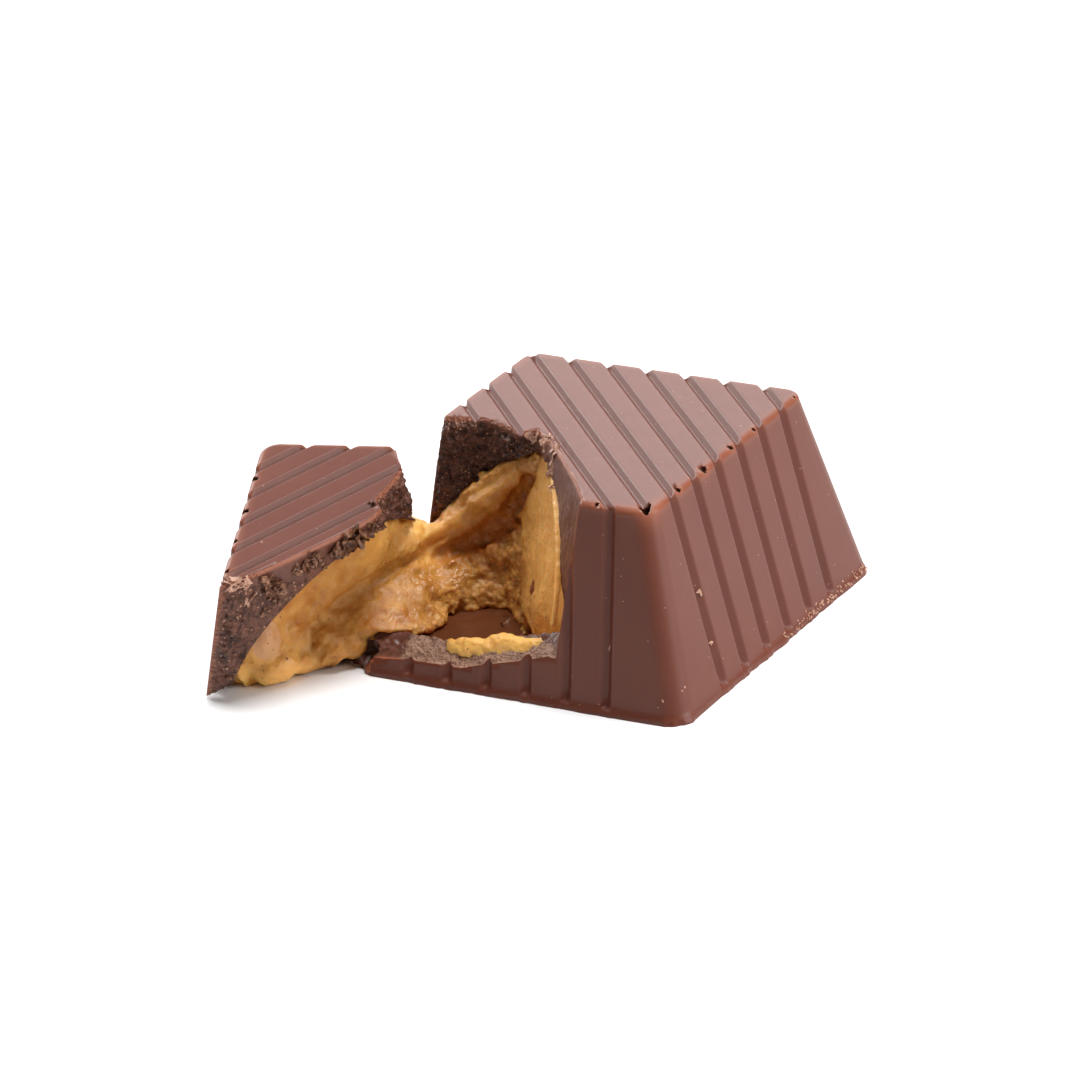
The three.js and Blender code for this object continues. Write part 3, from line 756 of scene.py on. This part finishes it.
def ball(at, radii, ragged=0.25):
    """A rough ball to cut with. It leaves broken chocolate."""
    unit, faces = UNIT_BALL
    size = np.asarray(radii) * (1 + ragged * bumps(unit * 2.0 + np.asarray(at), 1.1, 4))[:, None]
    return make_mesh("ball", unit * size + np.asarray(at), faces, BROKEN)


def pit_places():
    """Where bubbles broke open, a little under the mould's edges: places and radii."""
    under = 0.12
    z, edge = HEIGHT - under, TOP_HALF - under
    pits = [((x, -edge, z), r) for x, r in FRONT_EDGE_PITS] + [((edge, y, z), r) for y, r in RIGHT_EDGE_PITS]
    x, y, r = FRONT_CORNER_PIT
    return pits + [((x, y, HEIGHT - 0.35), r)]


def cut_pits(mould):
    for (x, y, z), r in pit_places():
        inwards = 1 - 0.5 * r / TOP_HALF
        cut(mould, ball((x * inwards, y * inwards, z - 0.3 * r), (1.15 * r, 1.15 * r, 1.3 * r)))


def painted_edge_glow(points):
    """Painted glow, standing in for light through thin chocolate: 1 along the mould's top edges and round
    its pits, 0 half a millimetre away.
    """
    reach = np.maximum(np.abs(points[:, 0]), np.abs(points[:, 1]))
    in_from_side = outer_half(points[:, 2]) - reach
    in_from_top = HEIGHT - points[:, 2]
    warmth = 0.8 * np.exp(-((np.hypot(in_from_side, in_from_top) / 0.42) ** 2))
    for at, r in pit_places():
        away = np.linalg.norm(points - at, axis=1)
        warmth += 0.8 * np.exp(-((away / (1.7 * r)) ** 2))
    return np.clip(warmth, 0, 1)


def corner_matrix():
    turn = Quaternion((0, 0, 1), math.radians(CORNER_TURN))
    heading = math.radians(CORNER_TILT_HEADING)
    tilt = Quaternion((math.cos(heading), math.sin(heading), 0), math.radians(CORNER_TILT))
    place = Matrix.Translation(CORNER_PLACE) @ (tilt @ turn).to_matrix().to_4x4()
    return place @ Matrix.Translation((TOP_HALF, TOP_HALF, -HEIGHT))


CORNER_MOVE = np.array(corner_matrix())


def moved_by(matrix, points):
    return points @ matrix[:3, :3].T + matrix[:3, 3]


def turn_about_z(degrees):
    a = math.radians(degrees)
    return np.array([[math.cos(a), -math.sin(a), 0], [math.sin(a), math.cos(a), 0], [0, 0, 1]])


def lost_tip():
    """What the cut at the corner of the stump takes away."""
    (x, y), heading = LOST_TIP
    unit, quads = cube_surface((70, 8, 60))
    slab = (unit - [0.5, 1, 0.5]) * 10
    slab[:, 1] += 0.35 * crag(slab) + grains_of_break(slab, 0.5)
    return make_mesh("lost_tip", slab @ turn_about_z(heading).T + [x, y, 0], quads, BROKEN)


def under_table():
    unit, quads = cube_surface((1, 1, 1))
    return make_mesh("under_table", (unit - [0.5, 0.5, 1]) * [90, 90, 12], quads, BROKEN)


def build_shells():
    block = make_mesh("milk_chocolate_block", *moulded_solid(), MOULDED)
    merge_points(block)
    cut_pits(block)
    cut(block, make_mesh("hollow", *cavity_solid(), CAST))
    corner = block.copy()
    corner.data = block.data.copy()
    corner.name = "milk_chocolate_corner"
    bpy.context.scene.collection.objects.link(corner)
    cut(block, broken_space("block_break", BLOCK_LEAN, STUMP, block_grit, BEVEL))
    cut(corner, broken_space("corner_break", CORNER_LEAN, HEM, corner_grit, -BEVEL), "INTERSECT")
    cut(block, lost_tip())
    for at, radii in BITES:
        cut(block, ball(at, radii, ragged=0.4))
    for piece, shear in ((block, block_shear), (corner, corner_shear)):
        points = points_of(piece)
        open_pit = np.zeros(len(points))
        for at, r in pit_places():
            open_pit = np.maximum(open_pit, np.linalg.norm(points - at, axis=1) < 1.6 * r)
        # The painted edge glow, stored for the moulded material.
        give(piece, "edge", painted_edge_glow(points))
        # The stump's top is floury, except at its end beside the strand.
        crushed = rise(4.6, 4.0, points[:, 2]) * rise(-9.6, -8.6, points[:, 0]) * (piece is block)
        give(piece, "crushed", crushed)
        # Painted rim glow, kept out of the open pits and the floury stump.
        give(piece, "rim", np.exp(-((skin_depth(points) / 0.28) ** 2)) * (1 - open_pit) * (1 - crushed))
        give(piece, "sheared", shear(points) * (1 - open_pit))
    move_points(corner, moved_by(CORNER_MOVE, points_of(corner)))
    cut(corner, under_table())
    shade_smooth(block)
    shade_smooth(corner)
    return block, corner


# ---------------------------------------------------------------- the filling
VOXEL = 0.13  # the grid's step
FAR = 3.0  # distances are kept out to here
CLEAR = 0.04  # between the filling and the shell, and above the table


def smooth_join(a, b, blend):
    h = np.clip(0.5 + 0.5 * (b - a) / blend, 0, 1)
    return b + (a - b) * h - blend * h * (1 - h)


def smooth_meet(a, b, blend):
    return -smooth_join(-a, -b, blend)


def dome_distance(x, y, z):
    r = (np.abs(x) ** SQUARENESS + np.abs(y) ** SQUARENESS) ** (1 / SQUARENESS)
    width = outer_half(z) - WALL
    share = np.clip((z - SHOULDER) / (CROWN - SHOULDER), 0, 1.3)
    level = (r / width) ** 2 + share**2 - 1
    steep = np.sqrt((2 * r / width**2) ** 2 + (2 * share / (CROWN - SHOULDER)) ** 2) + 1e-3
    return np.maximum(level / steep, FLOOR - z)


def torn_distance(x, y, z, side, diagonal, lean):
    """How far inside the block a point is, past the torn faces."""
    side, diagonal = np.array(side), np.array(diagonal)
    down = HEIGHT - z
    to_side = y - np.interp(x, side[:, 0], side[:, 1]) + lean[0] * down
    edge_u, edge_s = across_and_behind(diagonal[:, 0], diagonal[:, 1])
    u, s = across_and_behind(x, y)
    slant = lean[1] + (lean[2] - lean[1]) * rise(6.5, 10.5, u)
    to_diagonal = s - np.interp(u, edge_u, edge_s) + math.sqrt(2) * slant * down
    return to_side, to_diagonal


def beside_strip(x, y, z):
    """1 on the rough part of the block's tear, 0 on the smooth strip the shell peeled off."""
    u, _ = across_and_behind(x, y)
    edge = np.interp(z, *np.array(STRIP_EDGE).T)
    return rise(0.35, -0.35, u - edge)


def loft(rails, stations, around):
    """A closed solid through rings that join the rails' points."""
    curves = [spline(rail, stations) for rail in rails]
    rings = [spline([c[i] for c in curves], around, closed=True) for i in range(stations)]
    points = np.vstack(rings + [[np.mean(rings[0], 0)], [np.mean(rings[-1], 0)]])
    index = np.arange(stations * around).reshape(stations, around)
    after = np.roll(index, -1, axis=1)
    quads = np.stack([index[:-1], index[1:], after[1:], after[:-1]], -1).reshape(-1, 4)
    first = [[stations * around, a, b] for a, b in zip(index[0], after[0])]
    last = [[stations * around + 1, b, a] for a, b in zip(index[-1], after[-1])]
    return points, quads, np.array(first + last)


def distance_to_loft(shape, low, rails):
    points, quads, ends = loft(rails, 60, 48)
    triangles = np.vstack([quads[:, [0, 1, 2]], quads[:, [0, 2, 3]], ends])
    grid = openvdb.FloatGrid.createLevelSetFromPolygons(
        ((points - low) / VOXEL).astype(np.float32), triangles=triangles.astype(np.uint32),
        transform=openvdb.createLinearTransform(1.0), halfWidth=FAR / VOXEL)
    field = np.empty(shape, np.float32)
    grid.copyToArray(field)
    return field * VOXEL


def distance_to_rope(points, path):
    """Distance to a tube along a path of places, each with the tube's radius there."""
    line = spline(path, 24)
    nearest = np.full(points.shape[:-1], 1e3, np.float32)
    for a, b in zip(line[:-1], line[1:]):
        step = b[:3] - a[:3]
        t = np.clip(((points - a[:3]) @ step) / (step @ step), 0, 1)
        away = np.linalg.norm(points - a[:3] - t[..., None] * step, axis=-1)
        nearest = np.minimum(nearest, away - a[3] - t * (b[3] - a[3]))
    return nearest


def distance_to_lump(points, at, radii):
    return (np.linalg.norm((points - np.array(at)) / np.array(radii), axis=-1) - 1) * np.mean(radii)


def within(places, low, reach):
    """The part of the grid within `reach` mm of some places."""
    places = np.array(places)
    return tuple(slice(max(0, int((a - reach - c) / VOXEL)), int((b + reach - c) / VOXEL) + 1)
                 for a, b, c in zip(places.min(0), places.max(0), low))


def shape_filling(field, grid, low):
    """Adds the ropes and lumps of paste, then carves the hollows."""
    def work_in(places, reach, blend, distance, shape, carve):
        part = within(places, low, reach)
        found = distance(grid[part], *shape)
        if carve:
            field[part] = smooth_meet(field[part], -found, blend)
        else:
            field[part] = smooth_join(field[part], found, blend)

    def lumps(rows, carve):
        for at, radii, blend in rows:
            work_in([at], max(radii) + 1, blend, distance_to_lump, (at, radii), carve)

    def ropes(rows, carve):
        for path, blend in rows:
            work_in([step[:3] for step in path], 2.5, blend, distance_to_rope, (path,), carve)

    lumps(LUMPS + [(*NUT, 0.12)], carve=False)
    ropes([(LEDGE, 0.5), (WET_LOBE, 0.8), (ROLLED_EDGE, 0.3), (SMEAR, 1.0)], carve=False)
    ropes([(TEAR_HOLLOW, 0.5), (CREASE, 0.3)], carve=True)
    lumps([(*hole, 0.2) for hole in HOLES], carve=True)


def smooth_strip(points):
    """1 on the strip that the shell peeled off, away from the strand."""
    return (1 - beside_strip(*points.T)) * rise(-4.0, -2.5, points[:, 0])


def tear_relief(points):
    """The torn paste's own roughness: grainy where it broke, drawn out in streaks where it stretched."""
    ledge = rise(0.9, 0.3, distance_to_rope(points, LEDGE))
    rough = np.maximum(rough_tear(points), 0.45 * ledge)
    strip = smooth_strip(points) * (1 - ledge)
    strand = rise(-9.0, -11.0, points[:, 0])
    along_strip = points @ turned_to(STRIP_FLOW)
    along_strand = points @ turned_to(STRAND_FLOW)
    height = 0
    for strength, size, seed in (
            (0.2 * (1 - 0.6 * np.maximum(strip, ledge)), 3.0, 8), (0.14 * (1 - 0.8 * strip), 1.1, 9),
            (0.05 * (1 - 0.6 * strip), 0.42, 10), (0.3 * rough, 1.5, 11), (0.22 * rough, 0.75, 15),
            (0.12 * rough, 0.4, 16), (0.035 * strip, 0.35, 14)):
        height = height + strength * bumps(points, size, seed)
    height += 0.12 * rough * (granules(points, 0.6, 3) - 0.5)
    height += 0.06 * strand * (granules(points, 0.5, 4) - 0.5)
    height += 0.06 * strip * bumps(along_strip, (0.6, 0.6, 4.0), 12)
    height += 0.08 * strand * bumps(along_strand, (0.45, 0.45, 3.0), 13)
    smooth = np.exp(-(np.linalg.norm((points - NUT[0]) / NUT[1], axis=1) / 1.15) ** 8)
    return height * (1 - 0.7 * smooth)


def rough_tear(points):
    """1 where the paste broke off short: the block's tear, beside the smooth strip."""
    x, y, z = points.T
    rolled = rise(1.2, 0.2, distance_to_rope(points, ROLLED_EDGE))
    return beside_strip(x, y, z) * rise(-10.8, -9.0, x) * rise(6.0, 2.0, x) * (1 - 0.8 * rolled)


def turned_to(flow):
    """A turn that lays a flow direction along the third axis."""
    return np.array(Vector(flow).to_track_quat("Z", "Y").to_matrix(), np.float32)


def filling_field():
    low = np.array([-26.0, -21.5, -0.3])
    high = np.array([13.6, 13.6, 14.8])
    axes = [np.arange(a, b, VOXEL, dtype=np.float32) for a, b in zip(low, high)]
    x, y, z = np.meshgrid(*axes, indexing="ij", sparse=True)
    shape = tuple(len(a) for a in axes)
    dome = dome_distance(x, y, z) - CLEAR
    to_side, to_diagonal = torn_distance(x, y, z, TEAR_SIDE, TEAR_DIAGONAL, TEAR_LEAN)
    torn_out = np.interp(z, *np.array(TORN_OUT).T) * beside_strip(x, y, z)
    kept = smooth_meet(to_side, to_diagonal - torn_out, 0.6)
    field = smooth_meet(dome, -kept, 0.3).astype(np.float32)
    field = smooth_join(field, distance_to_loft(shape, low, STRAND.values()), 0.8)

    grid = np.stack(np.meshgrid(*axes, indexing="ij"), -1).astype(np.float32)
    part = slice(0, int((-9.0 - low[0]) / VOXEL))  # the corner lies in this part of the grid
    back = moved_by(np.linalg.inv(CORNER_MOVE), grid[part].reshape(-1, 3))
    at = back.reshape(grid[part].shape).transpose(3, 0, 1, 2)
    to_side, to_diagonal = torn_distance(*at, CORNER_SIDE, CORNER_DIAGONAL, (0.0, 0.0, 0.0))
    corner = smooth_meet(dome_distance(*at) - CLEAR, smooth_meet(to_side, to_diagonal, 0.8), 0.3)
    field[part] = smooth_join(field[part], corner.astype(np.float32), 0.8)

    shape_filling(field, grid, low)
    close = np.abs(field) < 0.8
    field[close] -= tear_relief(grid[close])
    return np.maximum(field, CLEAR - z), low


def build_filling():
    field, low = filling_field()
    edge = np.ones(field.shape, bool)
    edge[1:-1, 1:-1, 1:-1] = False
    field[edge] = np.maximum(field[edge], 0.2)
    grid = openvdb.FloatGrid(FAR)
    grid.copyFromArray(np.clip(field, -FAR, FAR).astype(np.float32))
    points, triangles, quads = grid.convertToPolygons(isovalue=0.0, adaptivity=0.0)
    faces = triangles.tolist() + quads.tolist()
    piece = make_mesh("peanut_filling", points * VOXEL + low, faces, PEANUT)
    shade_smooth(piece)
    points = points_of(piece)

    def around(path, reach):
        return np.exp(-((np.clip(distance_to_rope(points, path), 0, None) / reach) ** 2))

    on_ledge = around(LEDGE, 0.5)
    # Painted glow on the crest and the toes, for light through the thin paste and off the table.
    painted_glow = np.maximum(around(CREST, 2.0), around(TOES, 1.0))
    give(piece, "grain", np.maximum(rough_tear(points), on_ledge))
    give(piece, "wet", around(WET, 1.0))
    give(piece, "pale", np.maximum(np.maximum(on_ledge, painted_glow), 0.4 * smooth_strip(points)))
    # Painted shade for the tear's hollows.
    give(piece, "painted_hollow_shade", 0.85 * around(TEAR_HOLLOW, 0.6))
    give(piece, "nut", distance_to_lump(points, *NUT) < 0.14)
    give(piece, "skin", distance_to_lump(points, *SKIN) < 0)
    return piece


# ---------------------------------------------------------------- crumbs, flakes and curls
# Crumbs: place, size, how many, how far they scatter. Each is set on the nearest piece.
CRUMBS = [
    ((-16.1, -20.9, 9.5), 0.75, 3, 0.35), ((-15.8, -20.1, 8.7), 0.7, 4, 0.45),
    ((-15.9, -20.0, 7.6), 0.5, 4, 0.5), ((-16.4, -20.7, 7.1), 0.35, 3, 0.4),
    ((-14.7, -18.5, 9.9), 0.5, 4, 0.4), ((-14.2, -17.4, 9.9), 0.5, 5, 0.4),
    ((-14.0, -16.7, 9.6), 0.4, 4, 0.4), ((-4.55, -15.2, 0.35), 0.26, 1, 0),
    ((-1.9, -7.9, 2.0), 0.3, 3, 0.4),
]
# Flakes and curls: place, length, width, curl in degrees, how many, how far they scatter.
FLAKES = [
    ((-17.8, -23.0, 10.2), 0.9, 0.5, 60, 4, 0.35), ((-17.4, -22.9, 9.6), 0.8, 0.45, 80, 4, 0.4),
    ((-16.9, -22.3, 9.8), 0.7, 0.4, 60, 3, 0.3), ((-17.0, -21.9, 8.5), 1.2, 0.4, 30, 2, 0.2),
    ((-3.9, -1.6, 14.9), 0.75, 0.36, 50, 6, 0.45), ((-2.4, -2.4, 14.9), 0.75, 0.4, 50, 6, 0.45),
    ((-0.9, -4.0, 15.1), 0.7, 0.36, 50, 5, 0.45), ((-0.9, -4.6, 13.7), 0.7, 0.4, 90, 5, 0.4),
    ((-0.1, -5.6, 13.1), 0.6, 0.35, 90, 4, 0.4), ((13.29, -8.08, 7.66), 0.45, 0.4, 30, 1, 0),
    ((13.99, -8.26, 3.82), 0.5, 0.2, 20, 1, 0), ((8.58, -13.73, 4.9), 0.45, 0.16, 20, 1, 0),
    ((13.3, -14.7, 1.9), 0.2, 0.12, 20, 2, 0.3), ((14.4, -13.6, 2.4), 0.2, 0.12, 20, 2, 0.3),
]
CURLS = [
    ((-13.2, -15.6, 10.2), 2.2, 1.0, 190, 2, 0.2), ((-12.8, -14.7, 10.5), 2.4, 1.0, 210, 2, 0.2),
    ((-12.4, -13.9, 10.7), 2.3, 0.9, 190, 2, 0.2), ((-12.1, -13.2, 10.8), 2.0, 0.8, 170, 2, 0.2),
    ((-11.8, -12.4, 11.0), 1.5, 0.7, 150, 2, 0.2), ((-14.3, -17.6, 9.9), 1.6, 0.8, 150, 3, 0.3),
    ((-15.9, -20.4, 9.1), 1.7, 1.0, 120, 3, 0.3), ((-12.4, -10.3, 11.2), 1.1, 0.5, 140, 3, 0.5),
    ((-4.6, -6.6, 2.0), 1.1, 0.26, 160, 1, 0),
]
RIM_BURRS = 110  # scraped specks along the right side's foot


def on_surface(trees, place):
    """The nearest point of the pieces to a place, and the way that faces out there."""
    hits = [tree.find_nearest(Vector(place) * MM) for tree in trees]
    spot, normal = min(hits, key=lambda hit: hit[3])[:2]
    return np.array(spot) / MM, np.array(normal)


def facing(rng, normal):
    """A turn that lays the third axis along `normal`, spun by chance about it."""
    spin = Quaternion((0, 0, 1), rng.uniform(0, 2 * math.pi))
    return np.array((Vector(normal).to_track_quat("Z", "Y") @ spin).to_matrix())


def crumb(rng, size):
    unit, faces = UNIT_BALL
    lumps = 1 + 0.5 * bumps(unit + rng.uniform(0, 40, 3), 0.9)
    lumps = lumps + 0.25 * bumps(unit + rng.uniform(0, 40, 3), 0.4)
    return unit * lumps[:, None] * size * rng.uniform(0.35, 0.65, 3) + [0, 0, 0.2 * size], faces


def shaving(rng, length, width, curl):
    unit, faces = cube_surface((14, 7, 2))
    along, across, through = (unit * 2 - 1).T
    bend = math.radians(curl) / 2 * rng.uniform(0.6, 1.2)
    radius = length / 2 / bend
    thick = 0.07 * (1 - 0.7 * np.maximum(np.abs(along), np.abs(across)))
    ragged = 1 + 0.5 * bumps(np.column_stack([along, across, 0 * along]) + rng.uniform(0, 40, 3), 0.5)
    lift = radius * (1 - np.cos(bend * along)) + through * thick + 0.12 * width * across * along
    points = np.column_stack([radius * np.sin(bend * along) * ragged, width / 2 * across * ragged, lift])
    return points, faces


def scattered(name, trees, rows, made, solid, seed):
    """One mesh of many small solids; each row ends with how many, and how far they scatter."""
    rng = np.random.default_rng(seed)
    points, faces, count = [], [], 0
    for at, *shape, number, reach in rows:
        for _ in range(number):
            spot, normal = on_surface(trees, np.array(at) + rng.normal(0, 0.6, 3) * reach)
            small = rng.uniform(0.6, 1.1)
            own, own_faces = solid(rng, shape[0] * small, *shape[1:])
            tipped = normal + rng.normal(0, 0.35, 3)
            points.append(own @ facing(rng, tipped).T + spot)
            faces += [[count + i for i in face] for face in own_faces]
            count += len(own)
    piece = make_mesh(name, np.vstack(points), faces, made)
    shade_smooth(piece, 50)
    return piece


def build_crumbs(*pieces):
    view = bpy.context.evaluated_depsgraph_get()
    trees = [BVHTree.FromObject(piece, view) for piece in pieces]
    rng = np.random.default_rng(3)
    burrs = []
    for share in rng.uniform(0, 1, RIM_BURRS):
        z = 0.15 + rng.uniform(0, 1) ** 2 * 0.7
        burrs.append(((BASE_HALF - 0.1, 14 - 14 * share**1.6, z), rng.uniform(0.1, 0.34), 0.1, 40, 1, 0.1))
    return [scattered("chocolate_crumbs", trees, CRUMBS, CRUMBLED, crumb, 21),
            scattered("chocolate_flakes", trees, FLAKES + burrs, SHAVED, shaving, 22),
            scattered("chocolate_curls", trees, CURLS, CRUMBLED, shaving, 23)]


# ---------------------------------------------------------------- camera, light and floor
def build_camera():
    # The photograph's camera: far off, with a long lens.
    azimuth, elevation, roll = 0.5604335, 0.41742625, -0.09142765
    across, above, distance = -4.866, 5.790, 526.82  # mm
    back = Vector((math.sin(azimuth) * math.cos(elevation),
                   -math.cos(azimuth) * math.cos(elevation), math.sin(elevation)))
    level = Vector((math.cos(azimuth), math.sin(azimuth), 0))
    upright = back.cross(level)
    right = math.cos(roll) * level + math.sin(roll) * upright
    up = -math.sin(roll) * level + math.cos(roll) * upright
    place = (back * distance + right * across + up * above) * MM
    data = bpy.data.cameras.new("camera")
    data.sensor_width = 36
    data.lens = 233.33
    data.clip_end = 10
    camera = bpy.data.objects.new("camera", data)
    camera.matrix_world = Matrix([[right[i], up[i], back[i], place[i]] for i in range(3)] + [[0, 0, 0, 1]])
    bpy.context.scene.collection.objects.link(camera)
    bpy.context.scene.camera = camera


def softbox(name, place, size, power):
    data = bpy.data.lights.new(name, "AREA")
    data.shape = "RECTANGLE"
    data.size, data.size_y = size
    data.energy = power
    lamp = bpy.data.objects.new(name, data)
    lamp.location = place
    lamp.rotation_euler = (-Vector(place)).to_track_quat("-Z", "Y").to_euler()
    bpy.context.scene.collection.objects.link(lamp)


def build_studio():
    floor_mesh = bpy.data.meshes.new("floor")
    r = 3.0  # half its side, in metres
    floor_mesh.from_pydata([(-r, -r, 0), (r, -r, 0), (r, r, 0), (-r, r, 0)], [], [(0, 1, 2, 3)])
    # Matte paper, nearly white: a plain ground that throws soft light back.
    made, tree = material("pale_floor")
    shade(tree, {"Base Color": (0.92, 0.92, 0.92, 1), "Roughness": 0.7})
    floor_mesh.materials.append(made)
    floor = bpy.data.objects.new("floor", floor_mesh)
    bpy.context.scene.collection.objects.link(floor)
    softbox("low_back_softbox", (-0.33, 0.52, 0.25), (0.9, 0.32), 3.0)
    softbox("overhead_softbox", (0.10, 0.11, 0.79), (0.35, 0.35), 6.7)
    softbox("right_softbox", (0.65, 0.10, 0.30), (0.4, 0.4), 3.9)
    softbox("left_softbox", (-0.60, 0.12, 0.36), (0.35, 0.35), 3.0)
    world = bpy.data.worlds.new("studio")
    world.use_nodes = True
    background = world.node_tree.nodes["Background"]
    background.inputs["Color"].default_value = (1, 1, 1, 1)
    background.inputs["Strength"].default_value = 0.04
    bpy.context.scene.world = world
    bpy.context.scene.view_settings.view_transform = "Standard"


build_camera()
build_studio()
block, corner = build_shells()
filling = build_filling()
for piece in build_crumbs(block, corner, filling):
    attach(piece, "root")
for piece, node, slot in ((block, "shell_block", "milk_chocolate"),
                          (corner, "shell_corner", "milk_chocolate"),
                          (filling, "filling", "peanut_filling")):
    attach(piece, "root")
    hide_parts(node)
